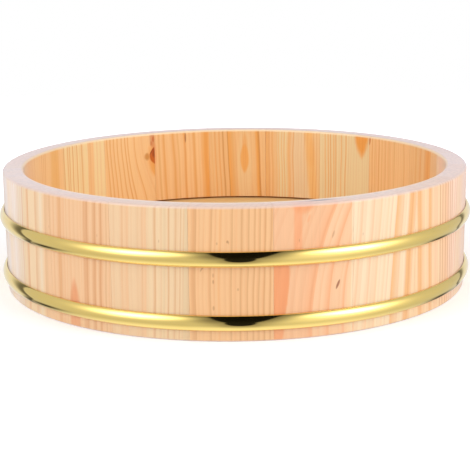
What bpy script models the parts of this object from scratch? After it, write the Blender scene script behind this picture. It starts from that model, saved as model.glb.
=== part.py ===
"""Sushi rice tub: a shallow coopered wall of pegged staves, a boarded floor and two rolled brass hoops.

Metres, +Z up. The origin is the centre of the foot ring, and the front of the tub faces -Y.
"""

import math

import bmesh
import bpy
from mathutils import Matrix, Vector

# Wall of staves
RIM_RADIUS = 0.165  # outside of the wall at the rim
WALL_TAPER = 0.0005  # how much narrower the outside is at the foot, so that the hoops tighten as they go up
TUB_HEIGHT = 0.0843
WALL_THICKNESS = 0.0145
STAVE_COUNT = 20
FIRST_JOINT = math.radians(8.0)  # from +X to the first joint between two staves
RIM_ROUND = 0.002  # radius of the two eased edges of the rim
FOOT_CHAMFER = 0.0008

# Floor boards and the groove, or croze, that holds them
FOOT_RECESS = 0.0125  # from the foot up to the underside of the floor
FLOOR_THICKNESS = 0.014
BOARD_COUNT = 5
BOARD_BEVEL = 0.0015  # on both edges of the floor's rim
CROZE_DEPTH = 0.004
CROZE_REVEAL = 0.0012  # height of the groove that stays open above the floor

# Hoops, rolled from strip with a domed face and a hollow back
HOOP_WIDTH = 0.0099
HOOP_BULGE = 0.0032  # from the wall to the crest
HOOP_METAL = 0.001
UPPER_HOOP_DROP = 0.0324  # from the rim down to the middle of the upper hoop
LOWER_HOOP_RISE = 0.0119  # from the foot up to the middle of the lower hoop

# Bamboo pegs, pointed at both ends
PEG_RADIUS = 0.0015
PEG_LENGTH = 0.024
PEG_TAPER = 0.005  # length of each pointed end
PEG_TIP_RADIUS = 0.0006
BOARD_PEG_SPACING = 0.12  # between the two pegs of one board joint

FIT_GAP = 0.0003  # between pieces that meet

# Facets
FACETS_PER_STAVE = 5
ROUND_FACETS = 2  # on each eased edge of the rim
HOOP_FACE_FACETS = 6
HOOP_BACK_FACETS = 4
PEG_SIDES = 8
SMOOTH_ANGLE = math.radians(30.0)

STAVE_ANGLE = 2 * math.pi / STAVE_COUNT
TURN_FACETS = STAVE_COUNT * FACETS_PER_STAVE
CROZE_BOTTOM = FOOT_RECESS - FIT_GAP
CROZE_TOP = FOOT_RECESS + FLOOR_THICKNESS + CROZE_REVEAL
STAVE_PEG_HEIGHT = (CROZE_TOP + TUB_HEIGHT) / 2  # half way up the wall above the floor


def wall_radius(height):
    """Outside radius of the wall at a height above the foot."""
    return RIM_RADIUS - WALL_TAPER * (1 - height / TUB_HEIGHT)


def inner_radius(height):
    return wall_radius(height) - WALL_THICKNESS


CROZE_RADIUS = inner_radius(FOOT_RECESS) + CROZE_DEPTH
FLOOR_RADIUS = CROZE_RADIUS - FIT_GAP
BOARD_WIDTH = 2 * FLOOR_RADIUS / BOARD_COUNT


def clear_scene():
    for obj in list(bpy.data.objects):
        bpy.data.objects.remove(obj, do_unlink=True)


def make_collection(name):
    collection = bpy.data.collections.new(name)
    bpy.context.scene.collection.children.link(collection)
    return collection


def make_material(name, color, roughness, metallic=0.0):
    material = bpy.data.materials.new(name)
    material.use_nodes = True
    shader = material.node_tree.nodes["Principled BSDF"]
    shader.inputs["Base Color"].default_value = (*color, 1.0)
    shader.inputs["Roughness"].default_value = roughness
    shader.inputs["Metallic"].default_value = metallic
    return material


def add_part(tub, name, mesh, material, placement=None):
    """One named piece of the tub, in the tub's collection and parented to its empty."""
    part = bpy.data.objects.new(name, mesh)
    tub["collection"].objects.link(part)
    part.parent = tub["empty"]
    part.matrix_world = placement or Matrix.Identity(4)
    if not mesh.materials:
        mesh.materials.append(material)
    return part


def add_cutter(tub, name, mesh, placement):
    cutter = bpy.data.objects.new(name, mesh)
    tub["cutters"].objects.link(cutter)
    cutter.matrix_world = placement
    cutter.hide_render = True
    cutter.display_type = "WIRE"
    return cutter


def add_boolean(part, cutter, operation="DIFFERENCE"):
    modifier = part.modifiers.new(cutter.name, "BOOLEAN")
    modifier.operation = operation
    modifier.object = cutter


def mesh_from_bmesh(name, shape):
    mesh = bpy.data.meshes.new(name)
    shape.to_mesh(mesh)
    shape.free()
    mesh.shade_smooth()
    mesh.set_sharp_from_angle(angle=SMOOTH_ANGLE)
    return mesh


def profile_mesh(name, points, closed):
    """The edges through (radius, height) points in the XZ plane, for a Screw modifier to turn."""
    mesh = bpy.data.meshes.new(name)
    edges = [(i, i + 1) for i in range(len(points) - 1)]
    if closed:
        edges.append((len(points) - 1, 0))
    mesh.from_pydata([(r, 0.0, z) for r, z in points], edges, [])
    return mesh


def add_screw(part, steps):
    screw = part.modifiers.new("turn", "SCREW")
    screw.steps = steps
    screw.render_steps = steps
    screw.use_merge_vertices = True
    screw.merge_threshold = 0.00001


def arc(centre_r, centre_z, radius, start, end, facets):
    """(radius, height) points along an arc, with angles measured up from the outward direction."""
    angles = [start + (end - start) * i / facets for i in range(facets + 1)]
    return [(centre_r + radius * math.cos(a), centre_z + radius * math.sin(a)) for a in angles]


def stave_profile():
    """Section through the wall: down the outside, under the foot, up past the croze, over the rim."""
    round_z = TUB_HEIGHT - RIM_ROUND
    outer_r = wall_radius(round_z) - RIM_ROUND
    inner_r = inner_radius(round_z) + RIM_ROUND
    outer_edge = arc(outer_r, round_z, RIM_ROUND, math.pi / 2, 0.0, ROUND_FACETS)
    foot = [
        (wall_radius(FOOT_CHAMFER), FOOT_CHAMFER),
        (wall_radius(0.0) - FOOT_CHAMFER, 0.0),
        (inner_radius(0.0) + FOOT_CHAMFER, 0.0),
        (inner_radius(FOOT_CHAMFER), FOOT_CHAMFER),
    ]
    croze = [
        (inner_radius(CROZE_BOTTOM), CROZE_BOTTOM),
        (CROZE_RADIUS, CROZE_BOTTOM),
        (CROZE_RADIUS, CROZE_TOP),
        (inner_radius(CROZE_TOP), CROZE_TOP),
    ]
    inner_edge = arc(inner_r, round_z, RIM_ROUND, math.pi, math.pi / 2, ROUND_FACETS)
    return outer_edge + foot + croze + inner_edge


def stave_mesh():
    """One stave about +X: the wall's section swept through its share of the turn, with radial edge faces."""
    sweep = STAVE_ANGLE - FIT_GAP / RIM_RADIUS
    shape = bmesh.new()
    verts = [shape.verts.new((r, 0.0, z)) for r, z in stave_profile()]
    shape.faces.new(verts)
    bmesh.ops.rotate(shape, verts=verts, matrix=Matrix.Rotation(-sweep / 2, 3, "Z"))
    bmesh.ops.spin(
        shape,
        geom=shape.verts[:] + shape.edges[:] + shape.faces[:],
        axis=(0.0, 0.0, 1.0),
        angle=sweep,
        steps=FACETS_PER_STAVE,
    )
    bmesh.ops.recalc_face_normals(shape, faces=shape.faces[:])
    return mesh_from_bmesh("stave", shape)


def peg_profile():
    half = PEG_LENGTH / 2
    shoulder = half - PEG_TAPER
    return [
        (0.0, half),
        (PEG_TIP_RADIUS, half),
        (PEG_RADIUS, shoulder),
        (PEG_RADIUS, -shoulder),
        (PEG_TIP_RADIUS, -half),
        (0.0, -half),
    ]


def peg_hole_mesh():
    """The drilled hole for one peg, through the joint and into both neighbours."""
    shape = bmesh.new()
    bmesh.ops.create_cone(
        shape,
        cap_ends=True,
        segments=PEG_SIDES,
        radius1=PEG_RADIUS + FIT_GAP,
        radius2=PEG_RADIUS + FIT_GAP,
        depth=PEG_LENGTH + 2 * FIT_GAP,
    )
    return mesh_from_bmesh("peg_hole", shape)


def add_peg(tub, name, placement):
    peg = add_part(tub, name, tub["peg_mesh"], tub["bamboo"], placement)
    add_screw(peg, PEG_SIDES)
    return add_cutter(tub, name + "_hole", tub["hole_mesh"], placement)


def build_staves(tub):
    """The ring of staves, with a peg across each joint."""
    mesh = stave_mesh()
    staves = []
    for i in range(STAVE_COUNT):
        turn = Matrix.Rotation(FIRST_JOINT + (i + 0.5) * STAVE_ANGLE, 4, "Z")
        staves.append(add_part(tub, f"stave_{i + 1:02d}", mesh, tub["stave_wood"], turn))
    middle_of_wall = wall_radius(STAVE_PEG_HEIGHT) - WALL_THICKNESS / 2
    along_joint_normal = Matrix.Rotation(-math.pi / 2, 4, "X")
    for i in range(STAVE_COUNT):
        turn = Matrix.Rotation(FIRST_JOINT + i * STAVE_ANGLE, 4, "Z")
        seat = Matrix.Translation((middle_of_wall, 0.0, STAVE_PEG_HEIGHT))
        hole = add_peg(tub, f"stave_peg_{i + 1:02d}", turn @ seat @ along_joint_normal)
        add_boolean(staves[i], hole)
        add_boolean(staves[i - 1], hole)


def floor_mesh():
    """The whole round floor as a disc with bevelled edges, which each board takes its share of."""
    shape = bmesh.new()
    bmesh.ops.create_cone(
        shape,
        cap_ends=True,
        segments=TURN_FACETS,
        radius1=FLOOR_RADIUS,
        radius2=FLOOR_RADIUS,
        depth=FLOOR_THICKNESS,
    )
    rim_edges = [e for e in shape.edges if abs(e.verts[0].co.z - e.verts[1].co.z) < FLOOR_THICKNESS / 2]
    bmesh.ops.bevel(shape, geom=rim_edges, offset=BOARD_BEVEL, segments=1, affect="EDGES")
    return mesh_from_bmesh("floor_board", shape)


def board_slab_mesh():
    """The straight slab that one board is sawn from, as long and thick as the whole floor needs."""
    shape = bmesh.new()
    bmesh.ops.create_cube(shape, size=1.0)
    size = Vector((3 * FLOOR_RADIUS, BOARD_WIDTH - FIT_GAP, 3 * FLOOR_THICKNESS))
    bmesh.ops.scale(shape, verts=shape.verts[:], vec=size)
    return mesh_from_bmesh("board_slab", shape)


def build_floor(tub):
    """Boards side by side along X, with two pegs across each joint."""
    mesh = floor_mesh()
    slab = board_slab_mesh()
    middle = FOOT_RECESS + FLOOR_THICKNESS / 2
    boards = []
    for i in range(BOARD_COUNT):
        board = add_part(
            tub, f"floor_board_{i + 1}", mesh, tub["floor_wood"], Matrix.Translation((0.0, 0.0, middle))
        )
        offset = (i - (BOARD_COUNT - 1) / 2) * BOARD_WIDTH
        cutter = add_cutter(tub, f"slab_{i + 1}", slab, Matrix.Translation((0.0, offset, middle)))
        add_boolean(board, cutter, "INTERSECT")
        boards.append(board)
    along_joint_normal = Matrix.Rotation(-math.pi / 2, 4, "X")
    for i in range(1, BOARD_COUNT):
        joint = (i - BOARD_COUNT / 2) * BOARD_WIDTH
        for side, sign in (("left", -1), ("right", 1)):
            seat = Matrix.Translation((sign * BOARD_PEG_SPACING / 2, joint, middle))
            hole = add_peg(tub, f"floor_peg_{i}_{side}", seat @ along_joint_normal)
            add_boolean(boards[i - 1], hole)
            add_boolean(boards[i], hole)


def hoop_profile(middle):
    """Section of a hoop: the domed face from its top lip down, then back up the hollow inside.

    It is drawn against an upright wall and then leans with the wall, so both lips bear on the staves.
    """
    half = HOOP_WIDTH / 2
    face_radius = (half**2 + HOOP_BULGE**2) / (2 * HOOP_BULGE)
    hollow_radius = face_radius - HOOP_METAL
    centre = HOOP_BULGE - face_radius
    face_angle = math.acos(-centre / face_radius)
    hollow_angle = math.acos(-centre / hollow_radius)
    face = arc(centre, middle, face_radius, face_angle, -face_angle, HOOP_FACE_FACETS)
    hollow = arc(centre, middle, hollow_radius, -hollow_angle, hollow_angle, HOOP_BACK_FACETS)
    return [(wall_radius(z) + FIT_GAP + out, z) for out, z in face + hollow]


def build_hoop(tub, name, middle):
    mesh = profile_mesh(name, hoop_profile(middle), closed=True)
    hoop = add_part(tub, name, mesh, tub["brass"], Matrix.Rotation(FIRST_JOINT, 4, "Z"))
    add_screw(hoop, TURN_FACETS)


def main():
    clear_scene()
    tub = {
        "collection": make_collection("sushi_rice_tub"),
        "cutters": make_collection("sushi_rice_tub_cutters"),
        "empty": bpy.data.objects.new("sushi_rice_tub", None),
        "stave_wood": make_material("stave_wood", (0.86, 0.56, 0.29), 0.45),
        "floor_wood": make_material("floor_wood", (0.80, 0.52, 0.26), 0.5),
        "bamboo": make_material("bamboo", (0.72, 0.55, 0.27), 0.55),
        "brass": make_material("brass", (0.86, 0.68, 0.28), 0.12, metallic=1.0),
        "peg_mesh": profile_mesh("peg", peg_profile(), closed=False),
        "hole_mesh": peg_hole_mesh(),
    }
    tub["collection"].objects.link(tub["empty"])
    build_staves(tub)
    build_floor(tub)
    build_hoop(tub, "upper_hoop", TUB_HEIGHT - UPPER_HOOP_DROP)
    build_hoop(tub, "lower_hoop", LOWER_HOOP_RISE)


main()
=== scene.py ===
"""Looks of the sushi rice tub: grained staves and floor boards, polished brass hoops, bamboo pegs.

Metres, in the frame of the solids. Grain is drawn in millimetres across, through and along each board.
"""

import math

import bmesh
import bpy
from mathutils import Matrix, Vector


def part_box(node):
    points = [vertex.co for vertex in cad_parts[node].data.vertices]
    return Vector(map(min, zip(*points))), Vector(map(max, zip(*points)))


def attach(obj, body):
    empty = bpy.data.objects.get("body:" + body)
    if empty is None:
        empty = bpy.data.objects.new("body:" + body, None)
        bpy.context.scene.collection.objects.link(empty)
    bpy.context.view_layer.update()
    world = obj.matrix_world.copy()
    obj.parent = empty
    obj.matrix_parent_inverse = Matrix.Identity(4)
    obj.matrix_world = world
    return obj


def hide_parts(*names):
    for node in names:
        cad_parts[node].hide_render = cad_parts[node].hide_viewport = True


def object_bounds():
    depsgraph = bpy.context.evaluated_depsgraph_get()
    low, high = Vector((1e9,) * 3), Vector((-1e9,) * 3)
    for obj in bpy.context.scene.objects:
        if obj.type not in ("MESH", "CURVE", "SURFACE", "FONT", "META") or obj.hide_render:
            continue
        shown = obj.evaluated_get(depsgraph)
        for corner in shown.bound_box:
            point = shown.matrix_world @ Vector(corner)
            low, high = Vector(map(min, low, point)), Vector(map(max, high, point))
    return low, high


MM = 0.001

# Sizes of the solids that the fine pieces follow
RIM_RADIUS = 0.165
WALL_TAPER = 0.0005
WALL_THICKNESS = 0.0145
STAVE_COUNT = 20
FIRST_JOINT = math.radians(8.0)
RIM_ROUND = 0.002
FOOT_CHAMFER = 0.0008
CROZE_DEPTH = 0.004
CROZE_REVEAL = 0.0012
BOARD_COUNT = 5
BOARD_BEVEL = 0.0015
HOOP_METAL = 0.001
FIT_GAP = 0.0003

# What the fine pieces add
JOINT_GAP = 0.00004
ARRIS = 0.00015
ARRIS_SEGMENTS = 2
SHARP_ANGLE = math.radians(40.0)
STAVE_STEPS = 12
RIM_STEPS = 8
HOOP_STEPS = 240
HOOP_FACE_STEPS = 36
HOOP_FACE_RADIUS = 0.006
HOOP_ROLL = 0.0015
HOOP_ROLL_STEPS = 8
FLOOR_STEPS = 96
FINE_RELIEF = 0.0001  # depth of the fibres and rubbing marks, as bump

STAVE_ANGLE = 2 * math.pi / STAVE_COUNT
NEAR_STAVES = range(11, 21)  # the photograph shows their outer faces
BODY = "root"

# Grain, in millimetres
HALF_WALL = WALL_THICKNESS / 2 / MM
HALF_BOARD = 7.0
MID_HEIGHT = 42.5
HALF_BAND = 40.0  # how far the tones reach to either side of a board's middle
CRISP_EDGE = 0.35  # the sharp side of a stripe
BEYOND = -90.0  # a place off every stave and board
ALL = (BEYOND, BEYOND + 1.0)  # growth lines from edge to edge
STAVE_SEED = 3.7
BOARD_SEED = 5.3
FIRST_BOARD_SEED = 90.0

# Camera, matched to the photograph
LENS = 97.81
SENSOR = 36.0
CAMERA_DISTANCE = 0.9334
CAMERA_ELEVATION = math.radians(13.078)
CAMERA_ROLL = math.radians(-0.67)
AIM = Vector((-0.00025, 0.0, 0.02884))


def srgb(red, green, blue):
    """A linear colour from the three numbers of a colour picker."""
    shares = [value / 255 for value in (red, green, blue)]
    return tuple(s / 12.92 if s <= 0.04045 else ((s + 0.055) / 1.055) ** 2.4 for s in shares) + (1.0,)


# Tones of the near staves, roughly from pale to dark
# The palest tone, on staves 11 and 12 near the left edge, also carries a painted grazing glare
HAZE_AND_GLARE = srgb(249, 233, 219)
CREAM = srgb(252, 224, 187)
OAT = srgb(239, 214, 183)
PEACH = srgb(253, 215, 171)
SHELL = srgb(255, 217, 189)
PALE = srgb(242, 209, 166)
ASH = srgb(234, 203, 160)
LINEN = srgb(240, 203, 160)
BLUSH = srgb(251, 202, 158)
TAN = srgb(241, 195, 149)
PINK = srgb(248, 194, 149)
HONEY = srgb(247, 196, 143)
ORANGE = srgb(246, 187, 127)
FAWN = srgb(231, 184, 137)
APRICOT = srgb(249, 181, 132)
AMBER = srgb(229, 171, 117)
RUST = srgb(224, 163, 112)
CORAL = srgb(249, 175, 125)
SALMON = srgb(247, 164, 110)
TERRA = srgb(234, 156, 106)

# Tones of the far staves and the floor, which also take warm light from the wood around them.
# Those on the far staves' sides are set paler, as painted light where less light falls.
WHEAT = srgb(255, 226, 175)
MAIZE = srgb(243, 217, 170)
BISCUIT = srgb(255, 209, 153)
STRAW = srgb(251, 202, 146)
SAND = srgb(245, 196, 139)
OCHRE = srgb(240, 184, 120)
CARAMEL = srgb(239, 172, 100)
FLAME = srgb(244, 164, 72)
GOLD = srgb(248, 194, 124)
EMBER = srgb(244, 175, 96)
TOFFEE = srgb(216, 148, 78)
ROAN = srgb(218, 145, 98)
REED = srgb(236, 214, 160)
FLAX = srgb(227, 193, 131)

# Knots, resin, end grain and edges, with painted glare, shade, highlight and shadow among them
# The bark tone also paints the shadow in the croze groove
BARK_AND_SHADOW = srgb(200, 96, 20)
KNOT = srgb(140, 52, 8)
PITCH = srgb(160, 88, 42)
# End-grain tone that also carries a painted glare, whitening the rim as a grazing reflection would
END_GRAIN_AND_GLARE = srgb(247, 220, 207)
# A darker end-grain tone for mottle, also used as painted shade on the rim's outer rounding
END_MOTTLE_AND_SHADE = srgb(230, 206, 197)
CRACK = srgb(26, 17, 14)
# Painted highlight on the rim's inner edge, and painted bounce light on the outer foot
PAINTED_LIGHT = srgb(255, 228, 190)
LATE_WOOD = srgb(238, 196, 160)
SHEEN = srgb(240, 238, 255)

# Bamboo and brass
BAMBOO = srgb(222, 190, 130)
BAMBOO_SHADE = srgb(200, 160, 98)
BAMBOO_DOT = srgb(140, 98, 52)
BRASS = (0.94, 0.7, 0.215, 1.0)
TARNISH = (0.84, 0.61, 0.165, 1.0)

# Light and ground
WHITE = (1.0, 1.0, 1.0, 1.0)
SOFTBOX_TURN = math.radians(57.0)
SOFTBOX_CLIMB = math.radians(31.0)
SOFTBOX_DISTANCE = 1.3
SOFTBOX_SIZE = 0.9
LEFT_POWER = 5.2
RIGHT_POWER = 5.45
FILL_LEVEL = 0.665
GROUND = (0.93, 0.945, 0.985, 1.0)
GROUND_RADIUS = 1.6
GROUND_SIDES = 96
GROUND_GLOW = 0.22  # keeps the shadow faint near the tub
GLOW_RISE = (0.2, 0.6)  # where the glow grows to full white, from the middle
GROUND_END = (0.35, 1.2)  # where the ground thins out

# The studio that the brass mirrors: turns in degrees to the right of the front, climbs in degrees up
ROOM_LEVEL = 0.69
TABLE_LEVEL = 1.09
SHEET_LEVEL = 0.86
# turn, climb, width, height, strength
LAMPS = (
    (-54.0, 37.2, 0.3, 0.385, 3.9),
    (61.7, 33.0, 0.257, 0.336, 4.7),
)
# The dark gap between the lamps: place to the right, half width, place upwards, half height
DARK_LOBES = (
    (0.045, 0.212, 54.0, 60.0),
    (0.034, 0.13, 2.0, 36.0),
)
# White sheets behind the tub: turn, climb, half width, reach up, reach down, soft border, its darkness
SHEETS = (
    (-158.0, -18.0, 40.0, 54.0, 14.0, 0.36, 0.76),
    (165.0, -12.0, 30.5, 37.0, 12.0, 0.2, 0.66),
)
# Their dark stands: turn, climb, width, height, darkness
STANDS = (
    (-121.0, -33.5, 19.0, 7.0, 1.0),
    (142.0, -31.0, 17.0, 5.5, 0.95),
)


class Tree:
    """Adds nodes to a shader tree and links them, so that a material reads as a chain of values."""

    def __init__(self, tree):
        self.tree = tree

    def node(self, kind, **settings):
        node = self.tree.nodes.new("ShaderNode" + kind)
        for name, value in settings.items():
            setattr(node, name, value)
        return node

    def plug(self, socket, value):
        """Links a socket to another node's output, or sets its plain value."""
        if isinstance(value, bpy.types.NodeSocket):
            self.tree.links.new(value, socket)
        else:
            socket.default_value = value

    def fill(self, node, **values):
        for name, value in values.items():
            self.plug(node.inputs[name.replace("_", " ")], value)
        return node

    def math(self, operation, *values):
        node = self.node("Math", operation=operation)
        for socket, value in zip(node.inputs, values):
            self.plug(socket, value)
        return node.outputs[0]

    def add(self, a, b):
        return self.math("ADD", a, b)

    def times(self, *values):
        result = values[0]
        for value in values[1:]:
            result = self.math("MULTIPLY", result, value)
        return result

    def rest(self, value):
        """What is left of 1."""
        return self.math("SUBTRACT", 1.0, value)

    def fade(self, value, low, high):
        """0 below low, 1 above high, smooth between."""
        node = self.node("MapRange", interpolation_type="SMOOTHSTEP")
        self.fill(node, Value=value, From_Min=low, From_Max=high)
        return node.outputs["Result"]

    def bell(self, value, middle, width):
        """1 at the middle, falling off smoothly on both sides."""
        away = self.times(self.add(value, -middle), 1 / width)
        return self.math("EXPONENT", self.times(away, away, -1.0))

    def length(self, a, b):
        return self.math("SQRT", self.add(self.times(a, a), self.times(b, b)))

    def along(self, vector, direction):
        """How far a vector points in a fixed direction."""
        node = self.node("VectorMath", operation="DOT_PRODUCT")
        for socket, value in zip(node.inputs, (vector, direction)):
            self.plug(socket, value)
        return node.outputs["Value"]

    def split(self, vector):
        node = self.node("SeparateXYZ")
        self.plug(node.inputs[0], vector)
        return node.outputs

    def vector(self, x, y, z):
        node = self.node("CombineXYZ")
        for socket, value in zip(node.inputs, (x, y, z)):
            self.plug(socket, value)
        return node.outputs[0]

    def noise(self, vector, detail=2.0):
        node = self.node("TexNoise")
        self.fill(node, Vector=vector, Scale=1.0, Detail=detail)
        return node.outputs[0]

    def noise_along(self, value):
        node = self.node("TexNoise", noise_dimensions="1D")
        self.fill(node, W=value, Scale=1.0, Detail=1.0)
        return node.outputs[0]

    def mix(self, factor, a, b, blend="MIX"):
        """Two colours mixed. A Mix node's colour sockets come after those for numbers and vectors."""
        node = self.node("Mix", data_type="RGBA", blend_type=blend)
        for index, value in ((0, factor), (6, a), (7, b)):
            self.plug(node.inputs[index], value)
        return node.outputs[2]

    def group(self, tree, **values):
        node = self.node("Group", node_tree=tree)
        return self.fill(node, **values).outputs


def new_group(name, inputs, outputs):
    """A shader group with the named inputs and outputs, and its Tree, input sockets and output node."""
    group = bpy.data.node_groups.new(name, "ShaderNodeTree")
    for direction, sockets in (("INPUT", inputs), ("OUTPUT", outputs)):
        for socket_name, kind in sockets.items():
            group.interface.new_socket(socket_name, in_out=direction, socket_type="NodeSocket" + kind)
    inside = group.nodes.new("NodeGroupInput").outputs
    return group, Tree(group), inside, group.nodes.new("NodeGroupOutput")


def stave_position_group():
    """Place on a stave in millimetres: across it, through its thickness and up it."""
    group, tree, inputs, out = new_group("stave position", {"Angle": "Float"}, {"Position": "Vector"})
    turn = tree.node("VectorRotate", rotation_type="Z_AXIS")
    place = tree.node("TexCoord").outputs["Object"]
    tree.fill(turn, Vector=place, Angle=tree.times(inputs["Angle"], -1.0))
    x, y, z = tree.split(turn.outputs[0])
    across = tree.times(tree.math("ARCTAN2", y, x), RIM_RADIUS / MM)
    radius = tree.length(x, y)
    through = tree.times(tree.add(radius, WALL_THICKNESS / 2 - RIM_RADIUS), 1 / MM)
    tree.plug(out.inputs[0], tree.vector(across, through, tree.times(z, 1 / MM)))
    return group


def stretched(tree, place, scales, seed=0.0):
    """A place for a texture: its three parts scaled, and a seed added across the grain."""
    across, through, height = [tree.times(part, scale) for part, scale in zip(place, scales)]
    return tree.vector(tree.add(across, seed), through, height)


def grain_group():
    """How far across the grain a point lies, after the grain's lean, wander and swerve round a knot."""
    names = ("Face", "Slant", "Lean", "Bend", "Wave", "Seed", "Knot across", "Knot height", "Swerve")
    inputs = {"Position": "Vector", **{name: "Float" for name in names}}
    group, tree, given, out = new_group("grain", inputs, {"Across": "Float"})
    place = tree.split(given["Position"])
    across, through, height = place
    wander = tree.noise(stretched(tree, place, (1 / 26, 1 / 26, 1 / 48), given["Seed"]), 1.0)
    wander = tree.times(tree.add(wander, -0.5), given["Wave"], 4.0)
    up = tree.add(height, -MID_HEIGHT)
    lean = tree.times(up, tree.add(given["Lean"], tree.times(up, given["Bend"])))
    near = tree.bell(tree.math("SUBTRACT", across, given["Knot across"]), 0.0, 34.0)
    above = tree.fade(tree.math("SUBTRACT", height, given["Knot height"]), -45.0, 20.0)
    swerve = tree.times(given["Swerve"], near, above)
    deep = tree.math("SUBTRACT", through, given["Face"])
    value = tree.add(across, tree.times(deep, given["Slant"]))
    value = tree.math("SUBTRACT", tree.add(value, wander), tree.add(lean, swerve))
    tree.plug(out.inputs[0], value)
    return group


def mark_group():
    """A soft spindle with pointed ends, for a flame, an eye, a knot or a speck in the grain."""
    names = ("Across", "Height", "Half width", "Half length", "Tilt", "Softness", "Blunt")
    inputs = {"Position": "Vector", **{name: "Float" for name in names}}
    group, tree, given, out = new_group("mark", inputs, {"Mask": "Float"})
    place = tree.split(given["Position"])
    across, _, height = place
    up = tree.math("SUBTRACT", height, given["Height"])
    aside = tree.math("SUBTRACT", across, given["Across"])
    aside = tree.math("SUBTRACT", aside, tree.times(up, given["Tilt"]))
    ripple = tree.noise(stretched(tree, place, (0.5, 0.5, 0.12)))
    wide = tree.math("DIVIDE", tree.math("ABSOLUTE", aside), given["Half width"])
    wide = tree.math("POWER", wide, 1.6)
    long = tree.math("ABSOLUTE", tree.math("DIVIDE", up, given["Half length"]))
    long = tree.math("POWER", long, given["Blunt"])
    reach = tree.add(tree.add(wide, long), tree.times(tree.add(ripple, -0.5), 0.25))
    edge = tree.rest(given["Softness"])
    tree.plug(out.inputs[0], tree.rest(tree.fade(reach, edge, 1.0)))
    return group


def growth_lines(tree, given, place):
    """How strongly a growth line shows: each has its own strength, and all come and go in patches."""
    seed = given["Seed"]
    sway = tree.noise_along(tree.add(tree.times(given["Across"], 0.13), tree.times(seed, 7.0)))
    count = tree.add(tree.math("DIVIDE", given["Across"], given["Spacing"]), tree.times(sway, 1.6))
    ring = tree.math("FLOOR", count)
    part = tree.math("SUBTRACT", count, ring)
    late = tree.times(tree.fade(part, 0.4, 0.9), tree.rest(tree.fade(part, 0.94, 1.0)))
    own = tree.node("TexWhiteNoise", noise_dimensions="1D")
    tree.fill(own, W=tree.add(ring, seed))
    strength = tree.add(tree.times(own.outputs["Value"], 0.7), 0.3)
    patch = tree.noise(stretched(tree, place, (0.06, 0.06, 0.015), seed), 1.0)
    patch = tree.add(tree.times(patch, 1.2), 0.1)
    shown = tree.fade(given["Across"], given["Lines from"], given["Lines full"])
    return tree.times(late, strength, patch, shown, given["Lines"])


def resin_flecks(tree, given, place):
    """Short dark flecks in a chosen share of the cells of a stretched pattern."""
    cells = tree.node("TexVoronoi")
    cells_at = stretched(tree, place, (1 / 2.4, 1 / 2.4, 1 / 13), given["Seed"])
    tree.fill(cells, Vector=cells_at, Scale=1.0)
    chosen = tree.math("LESS_THAN", tree.split(cells.outputs["Color"])[0], given["Flecks"])
    return tree.times(tree.rest(tree.fade(cells.outputs["Distance"], 0.05, 0.13)), chosen, 0.55)


def with_edges(tree, given, place, colour):
    """Adds end grain with a painted glare on tops. On staves it also paints shade on the rim's outer
    rounding, a highlight along its inner edge, bounce light on the foot and shadow in the groove, and
    adds the crack.
    """
    across, through, height = place
    wall = given["Wall"]
    up = tree.math("ABSOLUTE", tree.split(tree.node("NewGeometry").outputs["Normal"])[2])
    # End-grain tone on tops, mottled, and partly a painted glare that whitens the rim as grazing
    # reflection would
    mottle = tree.vector(tree.times(across, 0.3), tree.times(through, 0.5), given["Seed"])
    end = tree.mix(tree.fade(tree.noise(mottle, 2.0), 0.35, 0.7), END_GRAIN_AND_GLARE, END_MOTTLE_AND_SHADE)
    colour = tree.mix(tree.times(tree.fade(up, 0.5, 0.85), given["End grain"], 0.8), colour, end)

    # Painted shade on the rim's outer rounding
    corner = tree.times(tree.fade(up, 0.12, 0.5), tree.fade(through, 4.5, 5.5), wall, 0.5)
    colour = tree.mix(corner, colour, END_MOTTLE_AND_SHADE)
    # Painted highlight along the rim's inner edge, its width set for each stave
    depth = tree.math("DIVIDE", tree.add(through, HALF_WALL), given["Eased"])
    eased = tree.times(tree.rest(tree.fade(depth, 0.8, 1.1)), tree.fade(up, 0.05, 0.6))
    # Painted bounce light: the outer foot below the lower hoop is lightened
    foot = tree.times(tree.rest(tree.fade(height, 5.5, 9.0)), tree.fade(through, 5.0, 6.0), 0.14)
    pale = tree.math("MAXIMUM", tree.times(eased, 0.85), foot)
    colour = tree.mix(tree.times(pale, wall), colour, PAINTED_LIGHT)

    crack = tree.bell(tree.math("SUBTRACT", across, given["Crack"]), 0.0, 9.0)
    crack = tree.times(crack, tree.bell(through, -1.2, 1.3), tree.fade(up, 0.6, 0.9))
    colour = tree.mix(crack, colour, CRACK)

    # Painted shadow in the croze groove and its reveal, just above the floor boards
    groove = tree.times(tree.fade(height, 20.0, 22.0), tree.rest(tree.fade(height, 27.6, 27.9)))
    groove = tree.times(groove, tree.rest(tree.fade(through, -3.0, -2.0)), wall, 0.7)
    return tree.mix(groove, colour, BARK_AND_SHADOW)


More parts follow.
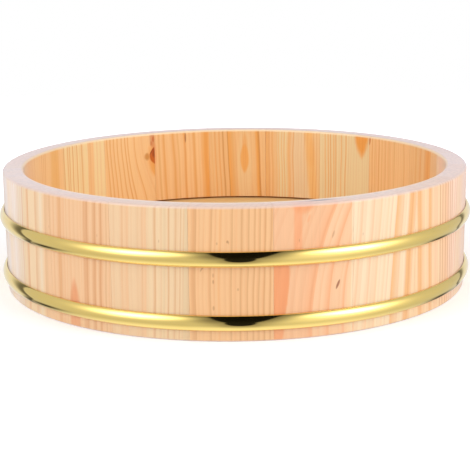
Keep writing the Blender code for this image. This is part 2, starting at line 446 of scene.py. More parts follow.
def finish_group():
    """Growth lines, fibres, streaks, flecks and edges with painted light and shade, over a stave's or
    board's own bands.
    """
    line_names = ("Across", "Seed", "Spacing", "Lines", "Lines from", "Lines full")
    floats = line_names + ("Flecks", "End grain", "Eased", "Wall", "Crack")
    inputs = {"Base": "Color", "Position": "Vector", **{name: "Float" for name in floats}}
    outputs = {"Color": "Color", "Roughness": "Float", "Height": "Float"}
    group, tree, given, out = new_group("wood finish", inputs, outputs)
    place = tree.split(given["Position"])
    line = growth_lines(tree, given, place)
    fibre = tree.add(tree.noise(stretched(tree, place, (6.0, 6.0, 0.09)), 3.0), -0.5)
    streak = tree.noise(stretched(tree, place, (0.8, 0.8, 0.014), given["Seed"]), 2.0)
    streak = tree.add(streak, -0.5)

    shade = tree.add(tree.add(tree.times(fibre, 0.12), tree.times(streak, 0.1)), 1.0)
    colour = tree.mix(line, given["Base"], LATE_WOOD, "MULTIPLY")
    colour = tree.mix(1.0, colour, tree.vector(shade, shade, shade), "MULTIPLY")
    colour = tree.mix(resin_flecks(tree, given, place), colour, PITCH)
    colour = with_edges(tree, given, place, colour)

    tree.plug(out.inputs["Color"], colour)
    tree.plug(out.inputs["Roughness"], tree.add(tree.times(fibre, 0.16), 0.4))
    tree.plug(out.inputs["Height"], tree.add(fibre, tree.times(line, 0.4)))
    return group


def new_material(name):
    """An empty node material with a Principled shader, and its Tree and shader."""
    material = bpy.data.materials.new(name)
    material.use_nodes = True
    tree = Tree(material.node_tree)
    return material, tree, material.node_tree.nodes["Principled BSDF"]


def tone_at(bands, place):
    """The broad tone at a place, between the two bands around it."""
    for (start, first), (end, second) in zip(bands, bands[1:]):
        if start <= place <= end:
            share = (place - start) / (end - start)
            return tuple(a + (b - a) * share for a, b in zip(first, second))
    return bands[0][1] if place < bands[0][0] else bands[-1][1]


def stripe_span(place, soft):
    """Where a stripe begins and ends: soft on one side and crisp on the other, or soft by two widths."""
    if isinstance(soft, tuple):
        return place - soft[0], place + soft[1]
    return sorted((place - soft, place + math.copysign(CRISP_EDGE, soft)))


def ramp_stops(bands, stripes):
    """Broad bands with stripes laid over them."""
    spans = [stripe_span(place, soft) for place, soft, _ in stripes]
    stops = []
    for place, tone in bands:
        if not any(low < place < high for low, high in spans):
            stops.append((place, tone))
    for (low, high), (place, _, tone) in zip(spans, stripes):
        stops += [(low, tone_at(bands, low)), (place, tone), (high, tone_at(bands, high))]
    return sorted(stops, key=lambda stop: stop[0])


def band_ramp(tree, across, stops):
    """The tones across a board, as (place in millimetres, tone) pairs."""
    ramp = tree.node("ValToRGB")
    tree.plug(ramp.inputs[0], tree.add(tree.times(across, 0.5 / HALF_BAND), 0.5))
    elements = ramp.color_ramp.elements
    while len(elements) < len(stops):
        elements.new(0.5)
    for element, (place, tone) in zip(elements, stops):
        element.position = 0.5 + 0.5 * place / HALF_BAND
        element.color = tone
    return ramp.outputs["Color"]


def mark(across, height, half_width, half_length, tone, amount, softness, tilt=0.0, blunt=2.0):
    """One spindle-shaped mark on a stave. A larger blunt keeps it wide for more of its length."""
    shape = dict(
        Across=across,
        Height=height,
        Half_width=half_width,
        Half_length=half_length,
        Tilt=tilt,
        Softness=softness,
        Blunt=blunt,
    )
    return shape, tone, amount


# What a stave or board looks like where its own look says nothing else
PLAIN_LOOK = dict(
    stripes=(),
    marks=(),
    slant=0.35,
    lean=0.0,
    bend=0.0,
    wave=1.2,
    knot=(0.0, 0.0, 0.0),
    flecks=0.015,
    crack=BEYOND,
    eased=1.4,
    end_grain_and_glare=1.0,
    wall=1.0,
    sheen=1.0,
)


def wood_material(name, groups, position_of, look, seed, face):
    """Planed bare softwood with one board's own bands, lines, marks and flecks."""
    look = {**PLAIN_LOOK, **look}
    material, tree, shader = new_material(name)
    position = position_of(tree)
    knot_across, knot_height, swerve = look["knot"]
    across = tree.group(
        groups["grain"],
        Position=position,
        Face=face,
        Slant=look["slant"],
        Lean=look["lean"],
        Bend=look["bend"],
        Wave=look["wave"],
        Seed=seed,
        Knot_across=knot_across,
        Knot_height=knot_height,
        Swerve=swerve,
    )["Across"]
    base = band_ramp(tree, across, ramp_stops(look["bands"], look["stripes"]))
    for shape, tone, amount in look["marks"]:
        mask = tree.group(groups["mark"], Position=position, **shape)["Mask"]
        base = tree.mix(tree.times(mask, amount), base, tone)
    spacing, lines, lines_from, lines_full = look["lines"]
    finish = tree.group(
        groups["finish"],
        Base=base,
        Position=position,
        Across=across,
        Seed=seed,
        Spacing=spacing,
        Lines=lines,
        Lines_from=lines_from,
        Lines_full=lines_full,
        Flecks=look["flecks"],
        End_grain=look["end_grain_and_glare"],
        Eased=look["eased"],
        Wall=look["wall"],
        Crack=look["crack"],
    )
    bump = tree.node("Bump")
    tree.fill(bump, Strength=0.2, Distance=FINE_RELIEF, Height=finish["Height"])
    tree.fill(shader, Base_Color=finish["Color"], Roughness=finish["Roughness"], Normal=bump.outputs[0])
    tree.fill(shader, Sheen_Weight=look["sheen"], Sheen_Roughness=0.3, Sheen_Tint=SHEEN)
    return material


# One look for each stave, counted anticlockwise from +X. Places are millimetres across the face that the
# photograph shows: a larger place is further right on the near staves and further left on the far ones.
# bands: broad tones that blend from place to place.
# stripes: (place, soft, tone), soft over that width below the place and crisp above it, or the other way
# round where soft is negative, or soft over a pair of widths, below and above.
# lines: spacing and strength of the growth lines, and where they begin to show and show in full.
# marks: spindles laid over the bands and stripes, in this order.
# lean, bend: slope of the grain up the stave, and how that slope grows.
# wave, slant: how far the grain wanders, and how far it shifts through the thickness.
# knot: its place and height, and how far the grain swerves round it.
# crack, eased: place of a crack in the rim, and width of the painted highlight along the rim's inner
# edge.
# flecks, end grain, wall, sheen: how much there is of each, with no rim or groove where wall is 0.
# The end grain carries a painted glare.
STAVE_LOOKS = {
    1: dict(
        bands=[
            (-26, SAND),
            (-12, SAND),
            (-10, EMBER),
            (-4, EMBER),
            (2, SAND),
            (13, SAND),
            (15, OCHRE),
            (18, SAND),
            (26, SAND),
        ],
        stripes=[(7, -2.4, CARAMEL)],
        lines=(3.2, 0.8, *ALL),
    ),
    2: dict(
        bands=[(-26, STRAW), (26, STRAW)],
        stripes=[(place, -1.8, OCHRE) for place in (-18, -5.5, 0.8, 6.2, 10.7, 14.5, 19.5, 23)],
        lines=(2.6, 0.6, *ALL),
        marks=[mark(25.8, 82.0, 1.7, 5.5, BARK_AND_SHADOW, 0.85, softness=0.5)],
    ),
    3: dict(
        bands=[(-26, MAIZE), (26, MAIZE)],
        stripes=[(place, (0.8, 1.2), OCHRE) for place in (-0.3, 4.2, 10.0, 12.3, 15.2, 17.8, 20.8)],
        lines=(3.0, 0.45, *ALL),
        marks=[mark(-17.4, 92.0, 9.8, 29.5, FLAME, 0.95, softness=0.55)],
    ),
    4: dict(
        bands=[
            (-26, PALE),
            (-0.5, PALE),
            (3.0, SAND),
            (4.2, SAND),
            (6.5, MAIZE),
            (12.5, MAIZE),
            (18, SAND),
            (21.4, SAND),
            (22.2, OCHRE),
            (26, OCHRE),
        ],
        stripes=[
            (-0.5, -0.9, OCHRE),
            (3.8, -1.6, OCHRE),
            *((place, -0.9, OCHRE) for place in (7.6, 10.0, 12.8, 15.3)),
            (18.4, -1.3, OCHRE),
        ],
        lines=(2.8, 0.7, *ALL),
        marks=[
            mark(-24.0, 60.0, 8.0, 80.0, GOLD, 0.45, softness=0.7, blunt=4.0),
            mark(-17.0, 58.0, 6.2, 62.0, GOLD, 0.95, tilt=0.09, softness=0.9, blunt=3.0),
            mark(-17.5, 66.0, 4.6, 15.0, EMBER, 0.3, softness=0.9),
        ],
    ),
    5: dict(
        bands=[
            (-26, SAND),
            (-22.4, SAND),
            (-21.4, TOFFEE),
            (-19.2, EMBER),
            (-16.8, SAND),
            (0, SAND),
            (2.6, OCHRE),
            (6.6, EMBER),
            (7.4, TOFFEE),
            (8.2, SAND),
            (24, SAND),
            (26, OCHRE),
        ],
        stripes=[
            (11.2, -1.6, TOFFEE),
            (14.8, -1.4, CARAMEL),
            (18.8, -1.4, CARAMEL),
            (22.0, -0.9, OCHRE),
        ],
        lines=(3.1, 0.35, *ALL),
        lean=0.04,
        wave=0.7,
        marks=[
            mark(-6.5, 52.0, 9.0, 40.0, MAIZE, 0.35, softness=0.7),
            mark(-6.9, 71.0, 3.6, 14.0, EMBER, 0.6, softness=0.9),
            mark(-6.5, 60.0, 4.6, 14.0, EMBER, 0.9, softness=0.55),
        ],
    ),
    6: dict(
        bands=[(-28.5, STRAW), (-25.4, EMBER), (-23, EMBER), (-18.6, STRAW), (24, STRAW), (26, OCHRE)],
        stripes=[
            (-13.3, (1.8, 2.6), CARAMEL),
            (-4.0, (1.6, 2.4), CARAMEL),
            (2.0, (0.8, 1.4), OCHRE),
            (6.0, (1.6, 2.4), CARAMEL),
            (15.2, (1.6, 2.4), CARAMEL),
            (20.0, (1.2, 1.8), OCHRE),
        ],
        lines=(4.2, 0.4, *ALL),
        lean=0.035,
        wave=0.9,
        marks=[
            mark(-3.8, 79.0, 0.9, 5.4, PITCH, 0.7, softness=0.7),
            mark(26.0, 67.0, 2.8, 12.0, SALMON, 0.5, softness=0.8),
        ],
    ),
    7: dict(
        bands=[(-50, BISCUIT), (-30, STRAW), (-16, BISCUIT), (26, BISCUIT)],
        stripes=[(place, -1.6, CARAMEL) for place in (-19.2, -9.2, -5.1, 0.1, 6.1, 11.0, 15.7, 19.9)],
        lines=(4.3, 0.3, *ALL),
        slant=0.2,
        knot=(-26.0, 62.0, 19.0),
        marks=[
            mark(-26.0, 64.0, 9.0, 19.0, FLAME, 0.75, softness=0.9),
            mark(-24.4, 80.0, 4.6, 11.0, ROAN, 0.8, softness=0.9),
            mark(-24.8, 79.5, 1.5, 3.0, BARK_AND_SHADOW, 0.6, softness=0.8),
            mark(-22.6, 76.0, 1.3, 2.6, BARK_AND_SHADOW, 0.5, softness=0.8),
            mark(-18.4, 65.3, 3.6, 4.0, TOFFEE, 0.95, softness=0.9),
            mark(-24.6, 55.5, 2.6, 7.0, EMBER, 0.8, tilt=0.2, softness=0.7),
            mark(-26.2, 65.8, 5.8, 7.5, BARK_AND_SHADOW, 0.95, softness=0.35),
            mark(-26.0, 67.5, 3.6, 4.4, KNOT, 0.6, softness=0.7),
            mark(-23.2, 69.6, 0.8, 3.4, KNOT, 0.8, tilt=-0.75, softness=0.6),
        ],
    ),
    8: dict(
        bands=[(-26, WHEAT), (-14, WHEAT), (-12, BISCUIT), (-6, STRAW), (-5.3, WHEAT), (26, WHEAT)],
        stripes=[(place, -1.8, OCHRE) for place in (1.2, 7.0, 12.4, 16.6, 19.0, 24.0)],
        lines=(4.2, 0.4, *ALL),
        wave=0.8,
    ),
    9: dict(
        bands=[
            (-26, BISCUIT),
            (-21, BISCUIT),
            (-17, GOLD),
            (-9, GOLD),
            (-4, BISCUIT),
            (26, BISCUIT),
        ],
        stripes=[(3, -1.8, OCHRE), (6.5, -1.4, OCHRE), (10, -1.4, OCHRE)],
        lines=(3.6, 0.3, *ALL),
    ),
    10: dict(bands=[(-26, BISCUIT), (-8, STRAW), (6, BISCUIT), (26, WHEAT)], lines=(3.0, 0.5, *ALL)),
    11: dict(
        # Its palest tone is partly a painted glare, where grazing reflection whitens this side
        bands=[(-26, HAZE_AND_GLARE), (-10, CREAM), (4, HAZE_AND_GLARE), (14, CREAM), (26, HAZE_AND_GLARE)],
        lines=(3.4, 1.2, *ALL),
    ),
    12: dict(
        bands=[
            (-26, HAZE_AND_GLARE),
            (-16, OAT),
            (-11, OAT),
            (-8, PALE),
            (13, PALE),
            (15, OAT),
            (17.5, PALE),
            (20, TAN),
            (26, TAN),
        ],
        stripes=[(-7.5, 1.8, ASH), (-1.2, 3.8, AMBER), (8.0, -5.5, FAWN), (20.2, -4.6, FAWN)],
        lines=(3.4, 1.1, -5.0, -11.0),
        lean=0.05,
        wave=0.6,
        eased=2.6,
    ),
    13: dict(
        bands=[(-26, FAWN), (-24, TAN), (26, TAN)],
        stripes=[
            (-17.2, -4.5, AMBER),
            (8.3, 4.5, RUST),
            (14.4, 3.2, RUST),
            (19.0, 2.4, RUST),
            (22.9, 1.3, FAWN),
        ],
        lines=(3.1, 0.4, *ALL),
        lean=0.035,
        wave=0.5,
        marks=[mark(-4.2, 6.0, 5.6, 28.0, TERRA, 0.85, softness=0.65, blunt=2.6)],
        eased=3.6,
    ),
    14: dict(
        bands=[(-26, LINEN), (-1.0, LINEN), (-0.6, PALE), (21, PALE), (23.5, ASH), (26, ASH)],
        stripes=[
            (-13.2, 7.0, TAN),
            (-1.5, 6.0, TAN),
            (4.7, 1.8, FAWN),
            (10.5, 1.2, ASH),
            (13.5, 1.3, FAWN),
            (17.7, 1.8, FAWN),
            (20.6, 1.0, FAWN),
        ],
        lines=(3.7, 0.4, *ALL),
        lean=0.033,
        wave=0.4,
        end_grain_and_glare=0.7,
        eased=4.6,
    ),
    15: dict(
        bands=[(-26, HONEY), (26, HONEY)],
        stripes=[
            (-21.6, 4.2, AMBER),
            (-12.1, 1.5, AMBER),
            (-7.0, 0.9, ORANGE),
            *((place, 1.2, AMBER) for place in (0.9, 6.5, 10.6, 14.2, 17.4, 20.7, 24.2)),
        ],
        lines=(3.3, 0.35, *ALL),
        lean=0.02,
        wave=0.7,
        flecks=0.03,
        marks=[
            mark(-2.0, 62.9, 0.8, 1.1, PITCH, 0.5, softness=0.6),
            mark(-8.4, 61.8, 0.7, 1.1, PITCH, 0.3, softness=0.8),
            mark(-17.5, 46.4, 0.7, 2.6, PITCH, 0.4, tilt=0.6, softness=0.7),
            mark(-10.9, 42.0, 0.8, 1.8, PITCH, 0.28, softness=0.8),
            mark(-10.9, 38.0, 0.7, 1.6, PITCH, 0.4, softness=0.7),
            mark(-10.9, 21.4, 0.8, 1.8, PITCH, 0.36, softness=0.8),
            mark(4.1, 33.2, 0.8, 1.2, PITCH, 0.3, softness=0.8),
        ],
        end_grain_and_glare=0.7,
        eased=4.6,
    ),
    16: dict(
        bands=[(-40, PINK), (-4, PINK), (3, BLUSH), (23, BLUSH), (25, PEACH), (40, PEACH)],
        stripes=[(1.4, 8.0, APRICOT), (12.2, 4.5, APRICOT), (22.4, 2.0, APRICOT)],
        lines=(6.0, 0.35, *ALL),
        lean=0.2,
        bend=0.003,
        wave=0.6,
        marks=[
            mark(-29.5, 0.0, 9.9, 54.0, SALMON, 0.95, tilt=0.11, softness=0.25, blunt=12.0),
            mark(-10.8, 70.0, 3.4, 26.0, CORAL, 0.9, softness=0.7, blunt=4.0),
            mark(-5.4, 92.0, 11.5, 15.5, SALMON, 0.75, tilt=0.2, softness=0.5),
            mark(-4.0, 75.5, 1.0, 3.0, CORAL, 0.6, tilt=0.3, softness=0.6),
            mark(26.4, 42.0, 2.0, 80.0, CREAM, 0.85, softness=0.5, blunt=12.0),
            mark(15.4, 32.5, 1.1, 3.6, KNOT, 0.75, tilt=0.4, softness=0.7),
            mark(12.0, 64.3, 0.9, 3.0, PITCH, 0.35, tilt=0.3, softness=0.9),
        ],
        crack=7.0,
        end_grain_and_glare=0.7,
        eased=4.6,
    ),
    17: dict(
        bands=[(-26, CREAM), (15.8, CREAM), (18.2, ORANGE), (21.4, ORANGE), (23.6, PEACH), (26, PEACH)],
        stripes=[
            (-22.0, (2.6, 0.9), BLUSH),
            (-13.6, (2.4, 0.9), BLUSH),
            (-7.6, (2.0, 0.8), PEACH),
            (-1.6, (2.0, 0.8), PEACH),
            (5.6, -8.5, ORANGE),
        ],
        lines=(5.0, 0.45, *ALL),
        lean=0.07,
        wave=0.8,
        eased=3.6,
        sheen=0.7,
    ),
    18: dict(
        bands=[
            (-24, PEACH),
            (-21.5, ORANGE),
            (-19.8, ORANGE),
            (-16, PEACH),
            (-12, PEACH),
            (-9.5, ORANGE),
            (-8.5, ORANGE),
            (-5.5, PEACH),
            (-1.8, BLUSH),
            (1.5, PEACH),
            (14, BLUSH),
            (20, SHELL),
            (26, SHELL),
        ],
        stripes=[(place, 1.6, RUST) for place in (4.7, 8.2, 12.6, 16.6, 20.4, 23.6)],
        lines=(3.2, 0.4, *ALL),
        lean=-0.04,
        wave=0.6,
        eased=2.6,
        sheen=0.4,
    ),
    19: dict(
        bands=[(-26, SHELL), (-12, PEACH), (0, SHELL), (12, BLUSH), (26, SHELL)],
        lines=(3.0, 1.2, *ALL),
        sheen=0.8,
    ),
    20: dict(bands=[(-26, SHELL), (-8, PEACH), (8, SHELL), (26, PALE)], lines=(2.8, 0.9, *ALL)),
}

BOARD_BANDS = (
    [(-32, FLAX), (-20, REED), (-8, FLAX), (6, REED), (18, FLAX), (32, REED)],
    [(-32, REED), (-18, REED), (-2, FLAX), (10, REED), (32, REED)],
    [(-32, FLAX), (-10, FLAX), (4, REED), (16, FLAX), (32, FLAX)],
)
BOARD_LOOK = dict(
    lines=(3.8, 0.5, *ALL),
    slant=1.5,
    wave=2.4,
    flecks=0.05,
    end_grain_and_glare=0.0,
    wall=0.0,
    sheen=0.05,
)


def brass_material():
    """Polished brass strip under clear lacquer: faint tarnish, and fine rubbing marks along the hoop."""
    material, tree, shader = new_material("polished_brass")
    x, y, z = tree.split(tree.node("TexCoord").outputs["Object"])
    along = tree.times(tree.math("ARCTAN2", y, x), RIM_RADIUS / MM)
    height = tree.times(z, 1 / MM)
    tarnish = tree.noise(tree.vector(tree.times(along, 0.05), 0.0, tree.times(height, 0.3)), 3.0)
    rubbing = tree.noise(tree.vector(tree.times(along, 0.03), 0.0, tree.times(height, 9.0)), 2.0)
    colour = tree.mix(tree.times(tree.fade(tarnish, 0.45, 0.75), 0.25), BRASS, TARNISH)
    roughness = tree.add(tree.times(tarnish, 0.03), tree.add(tree.times(rubbing, 0.03), 0.02))
    bump = tree.node("Bump")
    tree.fill(bump, Strength=0.02, Distance=FINE_RELIEF, Height=rubbing)
    tree.fill(shader, Base_Color=colour, Metallic=1.0, Roughness=roughness, Normal=bump.outputs[0])
    tree.fill(shader, Coat_Weight=0.5, Coat_Roughness=0.03)
    return material


def bamboo_material():
    """Split bamboo: pale fibre with the dark dots of its bundles."""
    material, tree, shader = new_material("split_bamboo")
    place = tree.node("TexCoord").outputs["Object"]
    dots = tree.node("TexVoronoi")
    tree.fill(dots, Vector=place, Scale=1800.0)
    soft = tree.node("TexNoise")
    tree.fill(soft, Vector=place, Scale=300.0, Detail=3.0)
    colour = tree.mix(soft.outputs[0], BAMBOO, BAMBOO_SHADE)
    mask = tree.times(tree.rest(tree.fade(dots.outputs["Distance"], 0.1, 0.3)), 0.6)
    colour = tree.mix(mask, colour, BAMBOO_DOT)
    tree.fill(shader, Base_Color=colour, Roughness=tree.add(tree.times(soft.outputs[0], 0.2), 0.4))
    return material


def wall_radius(height, top):
    return RIM_RADIUS - WALL_TAPER * (1 - height / top)


def arc(centre_r, centre_z, radius, start, end, steps):
    """(radius, height) points along an arc, with angles measured up from the outward direction."""
    angles = [start + (end - start) * i / steps for i in range(steps + 1)]
    return [(centre_r + radius * math.cos(a), centre_z + radius * math.sin(a)) for a in angles]


def stave_profile(top, underside, floor_top):
    """Section through the wall: down the outside, under the foot, up past the croze, over the rim."""

    def inner(height):
        return wall_radius(height, top) - WALL_THICKNESS

    round_z = top - RIM_ROUND
    outer_r = wall_radius(round_z, top) - RIM_ROUND
    inner_r = inner(round_z) + RIM_ROUND
    outer_edge = arc(outer_r, round_z, RIM_ROUND, math.pi / 2, 0.0, RIM_STEPS)
    inner_edge = arc(inner_r, round_z, RIM_ROUND, math.pi, math.pi / 2, RIM_STEPS)
    croze_bottom = underside - FIT_GAP
    croze_top = floor_top + CROZE_REVEAL
    croze_radius = inner(underside) + CROZE_DEPTH
    return [
        *outer_edge,
        (wall_radius(FOOT_CHAMFER, top), FOOT_CHAMFER),
        (wall_radius(0.0, top) - FOOT_CHAMFER, 0.0),
        (inner(0.0) + FOOT_CHAMFER, 0.0),
        (inner(FOOT_CHAMFER), FOOT_CHAMFER),
        (inner(croze_bottom), croze_bottom),
        (croze_radius, croze_bottom),
        (croze_radius, croze_top),
        (inner(croze_top), croze_top),
        *inner_edge,
    ]


def swept_piece(name, profile, start, sweep, steps):
    """A section turned about the tub's axis: a closed ring for a full turn, otherwise with flat ends."""
    full = abs(sweep - 2 * math.pi) < 1e-6
    shape = bmesh.new()
    rings = []
    for i in range(steps if full else steps + 1):
        angle = start + sweep * i / steps
        c, s = math.cos(angle), math.sin(angle)
        rings.append([shape.verts.new((r * c, r * s, z)) for r, z in profile])
    pairs = list(zip(rings, rings[1:])) + ([(rings[-1], rings[0])] if full else [])
    count = len(profile)
    for near, far in pairs:
        for j in range(count):
            k = (j + 1) % count
            shape.faces.new((near[j], far[j], far[k], near[k]))
    if not full:
        shape.faces.new(rings[0])
        shape.faces.new(list(reversed(rings[-1])))
    bmesh.ops.recalc_face_normals(shape, faces=shape.faces[:])
    return finished_piece(name, shape)


def finished_piece(name, shape):
    """A smooth-shaded object with every sharp edge eased."""
    mesh = bpy.data.meshes.new(name)
    shape.to_mesh(mesh)
    shape.free()
    mesh.shade_smooth()
    piece = bpy.data.objects.new(name, mesh)
    bpy.context.scene.collection.objects.link(piece)
    bevel = piece.modifiers.new("arris", "BEVEL")
    bevel.width = ARRIS
    bevel.segments = ARRIS_SEGMENTS
    bevel.limit_method = "ANGLE"
    bevel.angle_limit = SHARP_ANGLE
    bevel.harden_normals = True
    return piece


def stand_for(piece, node, material):
    """The piece takes the place of a solid, with its finish."""
    piece.data.materials.append(material)
    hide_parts(node)
    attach(piece, BODY)


def build_staves(groups, top, underside, floor_top):
    profile = stave_profile(top, underside, floor_top)
    sweep = STAVE_ANGLE - JOINT_GAP / RIM_RADIUS
    for number in range(1, STAVE_COUNT + 1):
        middle = FIRST_JOINT + (number - 0.5) * STAVE_ANGLE

        def position_of(tree, middle=middle):
            return tree.group(groups["stave"], Angle=middle)["Position"]

        face = HALF_WALL if number in NEAR_STAVES else -HALF_WALL
        look = STAVE_LOOKS[number]
        seed = number * STAVE_SEED
        material = wood_material(f"stave_wood_{number:02d}", groups, position_of, look, seed, face)
        piece = swept_piece(f"fine_stave_{number:02d}", profile, middle - sweep / 2, sweep, STAVE_STEPS)
        stand_for(piece, f"stave_{number:02d}", material)


def board_piece(name, low, high, radius, front, back):
    """One floor board: the part of the round floor between two straight edges, with its rim bevelled."""
    shape = bmesh.new()
    start = math.asin(max(front / radius, -1.0))
    end = math.asin(min(back / radius, 1.0))
    steps = max(4, round(FLOOR_STEPS * (end - start) / (2 * math.pi)) * 2)
    levels = [
        (low, BOARD_BEVEL),
        (low + BOARD_BEVEL, 0.0),
        (high - BOARD_BEVEL, 0.0),
        (high, BOARD_BEVEL),
    ]
    loops = []
    for z, inset in levels:
        right = []
        for i in range(steps + 1):
            angle = start + (end - start) * i / steps
            y = radius * math.sin(angle)
            x = math.sqrt(max((radius - inset) ** 2 - y * y, 0.0))
            right.append((x, y, z))
        left = [(-x, y, z) for x, y, z in reversed(right)]
        loops.append([shape.verts.new(co) for co in right + left])
    for lower, upper in zip(loops, loops[1:]):
        for j in range(len(lower)):
            k = (j + 1) % len(lower)
            shape.faces.new((lower[j], lower[k], upper[k], upper[j]))
    shape.faces.new(loops[0])
    shape.faces.new(list(reversed(loops[-1])))
    bmesh.ops.remove_doubles(shape, verts=shape.verts[:], dist=1e-6)
    bmesh.ops.recalc_face_normals(shape, faces=shape.faces[:])
    return finished_piece(name, shape)


def build_floor(groups, low, high, radius):
    width = 2 * radius / BOARD_COUNT
    for number in range(1, BOARD_COUNT + 1):
        front = -radius + (number - 1) * width + JOINT_GAP / 2
        back = front + width - JOINT_GAP
        middle = (front + back) / 2

        def position_of(tree, middle=middle):
            x, y, z = tree.split(tree.node("TexCoord").outputs["Object"])
            across = tree.times(tree.add(y, -middle), 1 / MM)
            through = tree.times(tree.add(z, -(low + high) / 2), 1 / MM)
            return tree.vector(across, through, tree.times(x, 1 / MM))

        look = dict(BOARD_LOOK, bands=BOARD_BANDS[number % len(BOARD_BANDS)])
        seed = FIRST_BOARD_SEED + number * BOARD_SEED
        material = wood_material(f"floor_wood_{number}", groups, position_of, look, seed, HALF_BOARD)
        piece = board_piece(f"fine_floor_board_{number}", low, high, radius, front, back)
        stand_for(piece, f"floor_board_{number}", material)


def bow(half, edge, crest, middle, steps):
    """(outward, height) points of a bow, down from its upper lip to its lower one."""
    rise = crest - edge
    radius = (half**2 + rise**2) / (2 * rise)
    reach = math.asin(half / radius)
    return arc(crest - radius, middle, radius, reach, -reach, steps)


def rolled_face(half, crest, middle):
    """(outward, height) points of a hoop's face: a shallow bow between edges rolled in to the wall."""
    span = HOOP_FACE_RADIUS - HOOP_ROLL
    reach = math.asin((half - HOOP_ROLL) / span)
    centre = crest - HOOP_FACE_RADIUS
    roll = centre + span * math.cos(reach)
    lift = half - HOOP_ROLL
    upper = arc(roll, middle + lift, HOOP_ROLL, math.pi / 2, reach, HOOP_ROLL_STEPS)
    face = arc(centre, middle, HOOP_FACE_RADIUS, reach, -reach, HOOP_FACE_STEPS)
    lower = arc(roll, middle - lift, HOOP_ROLL, -reach, -math.pi / 2, HOOP_ROLL_STEPS)
    return upper[:-1] + face + lower[1:]


def build_hoop(node, top, material):
    """A rolled strip with a domed face and hollow back, in the solid hoop's own box."""
    low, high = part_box(node)
    middle = (low[2] + high[2]) / 2
    half = (high[2] - low[2]) / 2
    crest = max(high[0], high[1]) - wall_radius(middle, top)
    face = rolled_face(half, crest, middle)
    hollow = bow(half - HOOP_METAL / 2, FIT_GAP, crest - HOOP_METAL, middle, HOOP_FACE_STEPS // 3)
    profile = [(wall_radius(z, top) + out, z) for out, z in face + hollow[::-1]]
    piece = swept_piece(f"fine_{node}", profile, 0.0, 2 * math.pi, HOOP_STEPS)
    stand_for(piece, node, material)


def dress_pegs(frame):
    material = bamboo_material()
    for name, node in frame["nodes"].items():
        if "peg" in name:
            node.data.materials.clear()
            node.data.materials.append(material)


def toward(turn, climb):
    """The direction at a turn to the right of the front and a climb."""
    return Vector((math.sin(turn) * math.cos(climb), -math.cos(turn) * math.cos(climb), math.sin(climb)))


def facing_back(place, direction):
    """A matrix for a lamp or camera at a place, which looks against the direction."""
    return Matrix.Translation(place) @ direction.to_track_quat("Z", "Y").to_matrix().to_4x4()


def lamp_glow(tree, direction, turn, climb, width, height):
    """The soft image of a lamp."""
    turn, climb = math.radians(turn), math.radians(climb)
    aside = (math.cos(turn), math.sin(turn), 0.0)
    upward = (-math.sin(turn) * math.sin(climb), math.cos(turn) * math.sin(climb), math.cos(climb))
    across = tree.bell(tree.along(direction, aside), 0.0, width)
    up = tree.bell(tree.along(direction, upward), 0.0, height)
    return tree.times(across, up, tree.fade(tree.along(direction, toward(turn, climb)), 0.0, 0.3))


def with_gap(tree, x, over, level):
    """Darkens the gap between the lamps, its flanks, and less strongly what is overhead."""
    lobes = []
    for centre, half_width, middle, half_height in DARK_LOBES:
        aside = tree.times(tree.add(x, -centre), 1 / half_width)
        along = tree.times(tree.add(over, -middle), 1 / half_height)
        lobes.append(tree.length(aside, along))
    reach = tree.math("MINIMUM", *lobes)
    flank = tree.add(tree.times(tree.fade(reach, 0.95, 2.2), 0.475), 0.525)
    gap = tree.add(tree.times(tree.fade(reach, 0.88, 1.06), 0.955), 0.045)
    overhead = tree.times(tree.bell(x, 0.03, 0.42), tree.fade(over, -15.0, 45.0), 0.65)
    return tree.times(level, flank, gap, tree.rest(overhead))


def with_sheets(tree, turn, climb, level):
    """Adds the white sheets behind the tub, with their dark borders and stands."""
    for middle, height, half_width, rise, drop, soft, dark in SHEETS:
        side = tree.fade(tree.times(turn, math.copysign(1.0, middle)), 60.0, 90.0)
        aside = tree.times(tree.add(turn, -middle), 1 / half_width)
        lift = tree.add(climb, -height)
        above = tree.math("MAXIMUM", tree.times(lift, 1 / rise), tree.times(lift, -1 / drop))
        out = tree.length(aside, above)
        inside = tree.times(side, tree.rest(tree.fade(out, 0.7, 1.0)))
        level = tree.add(tree.times(level, tree.rest(inside)), tree.times(inside, SHEET_LEVEL))
        border = tree.times(tree.fade(out, 1.0 - soft, 0.97), tree.rest(tree.fade(out, 1.0, 1.06)))
        level = tree.times(level, tree.rest(tree.times(side, border, dark)))
    for middle, height, width, depth, dark in STANDS:
        stand = tree.times(tree.bell(turn, middle, width), tree.bell(climb, height, depth), dark)
        level = tree.times(level, tree.rest(stand))
    return level


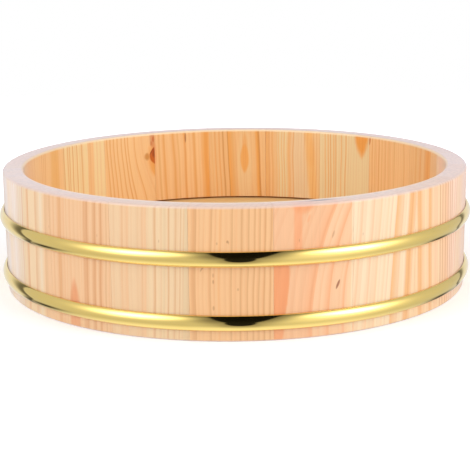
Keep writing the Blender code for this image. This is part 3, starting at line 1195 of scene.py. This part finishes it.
def studio_world():
    """White to the camera, an even fill, and for gloss a studio of two lamps and two sheets."""
    world = bpy.data.worlds.new("studio")
    world.use_nodes = True
    bpy.context.scene.world = world
    tree = Tree(world.node_tree)
    background = world.node_tree.nodes["Background"]
    direction = tree.node("TexCoord").outputs["Generated"]
    x, y, z = tree.split(direction)
    front = tree.times(y, -1.0)
    turn = tree.times(tree.math("ARCTAN2", x, front), 180 / math.pi)
    climb = tree.times(tree.math("ARCSINE", z), 180 / math.pi)
    over = tree.times(tree.math("ARCTAN2", z, front), 180 / math.pi)

    table = tree.rest(tree.fade(climb, -70.0, -28.0))
    level = tree.add(tree.times(table, TABLE_LEVEL - ROOM_LEVEL), ROOM_LEVEL)
    for *shape, strength in LAMPS:
        level = tree.add(level, tree.times(lamp_glow(tree, direction, *shape), strength))
    rise = tree.times(tree.fade(climb, -60.0, 35.0), tree.rest(tree.fade(climb, 30.0, 60.0)))
    spill = tree.times(tree.bell(turn, 52.0, 30.0), rise, 0.8)
    level = with_gap(tree, x, over, tree.add(level, spill))
    level = with_sheets(tree, turn, climb, level)

    path = tree.node("LightPath").outputs
    mirrored = tree.math("MAXIMUM", path["Is Glossy Ray"], path["Is Transmission Ray"])
    strength = tree.add(tree.times(mirrored, level), tree.times(tree.rest(mirrored), FILL_LEVEL))
    seen = path["Is Camera Ray"]
    strength = tree.add(tree.times(tree.rest(seen), strength), seen)
    tree.fill(background, Color=WHITE, Strength=strength)


def add_softbox(name, turn, power):
    """A square area light that faces the tub. Its mirror image is in the world, with softer edges."""
    light = bpy.data.lights.new(name, "AREA")
    light.size = SOFTBOX_SIZE
    light.energy = power
    lamp = bpy.data.objects.new(name, light)
    direction = toward(turn, SOFTBOX_CLIMB)
    lamp.matrix_world = facing_back(direction * SOFTBOX_DISTANCE, direction)
    lamp.visible_glossy = False
    lamp.visible_camera = False
    bpy.context.scene.collection.objects.link(lamp)


def ground_material():
    """Pale and matt, with a glow for the camera, thinning out to the white around it."""
    material = bpy.data.materials.new("pale_floor")
    material.use_nodes = True
    tree = Tree(material.node_tree)
    material.node_tree.nodes.remove(material.node_tree.nodes["Principled BSDF"])
    output = material.node_tree.nodes["Material Output"]
    x, y, _ = tree.split(tree.node("TexCoord").outputs["Object"])
    away = tree.length(x, y)
    seen = tree.node("LightPath").outputs["Is Camera Ray"]
    matt = tree.node("BsdfDiffuse")
    tree.fill(matt, Color=GROUND)
    glow = tree.node("Emission")
    glow_level = tree.add(tree.fade(away, *GLOW_RISE), GROUND_GLOW)
    tree.fill(glow, Color=WHITE, Strength=tree.times(seen, glow_level))
    both = tree.node("AddShader")
    tree.plug(both.inputs[0], matt.outputs[0])
    tree.plug(both.inputs[1], glow.outputs[0])
    clear = tree.node("BsdfTransparent")
    blend = tree.node("MixShader")
    tree.plug(blend.inputs[0], tree.fade(away, *GROUND_END))
    tree.plug(blend.inputs[1], both.outputs[0])
    tree.plug(blend.inputs[2], clear.outputs[0])
    tree.plug(output.inputs["Surface"], blend.outputs[0])
    return material


def add_ground():
    """A pale floor under the tub that keeps its shadow."""
    shape = bmesh.new()
    bmesh.ops.create_circle(shape, cap_ends=True, segments=GROUND_SIDES, radius=GROUND_RADIUS)
    mesh = bpy.data.meshes.new("floor")
    shape.to_mesh(mesh)
    shape.free()
    floor = bpy.data.objects.new("floor", mesh)
    bpy.context.scene.collection.objects.link(floor)
    floor.visible_glossy = False
    mesh.materials.append(ground_material())


def add_camera():
    camera = bpy.data.cameras.new("camera")
    camera.lens = LENS
    camera.sensor_width = SENSOR
    obj = bpy.data.objects.new("camera", camera)
    back = toward(0.0, CAMERA_ELEVATION)
    roll = Matrix.Rotation(CAMERA_ROLL, 4, "Z")
    obj.matrix_world = facing_back(AIM + back * CAMERA_DISTANCE, back) @ roll
    bpy.context.scene.collection.objects.link(obj)
    bpy.context.scene.camera = obj


def plain(box):
    return [[float(value) for value in corner] for corner in box]


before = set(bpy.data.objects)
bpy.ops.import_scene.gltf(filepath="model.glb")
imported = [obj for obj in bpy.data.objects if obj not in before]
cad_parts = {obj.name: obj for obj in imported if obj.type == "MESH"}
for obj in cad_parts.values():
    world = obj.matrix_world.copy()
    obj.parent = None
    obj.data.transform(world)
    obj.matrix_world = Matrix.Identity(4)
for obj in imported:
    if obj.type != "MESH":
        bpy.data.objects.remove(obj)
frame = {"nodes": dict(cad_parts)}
cad_box = plain(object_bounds())
wall_top = cad_box[1][2]
floor_low, floor_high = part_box("floor_board_3")
groups = {
    "stave": stave_position_group(),
    "grain": grain_group(),
    "mark": mark_group(),
    "finish": finish_group(),
}
build_staves(groups, wall_top, floor_low[2], floor_high[2])
build_floor(groups, floor_low[2], floor_high[2], max(floor_high[0], -floor_low[0]))
brass = brass_material()
build_hoop("upper_hoop", wall_top, brass)
build_hoop("lower_hoop", wall_top, brass)
dress_pegs(frame)
studio_world()
add_softbox("left_softbox", -SOFTBOX_TURN, LEFT_POWER)
add_softbox("right_softbox", SOFTBOX_TURN, RIGHT_POWER)
add_ground()
add_camera()
bpy.context.scene.view_settings.view_transform = "Standard"
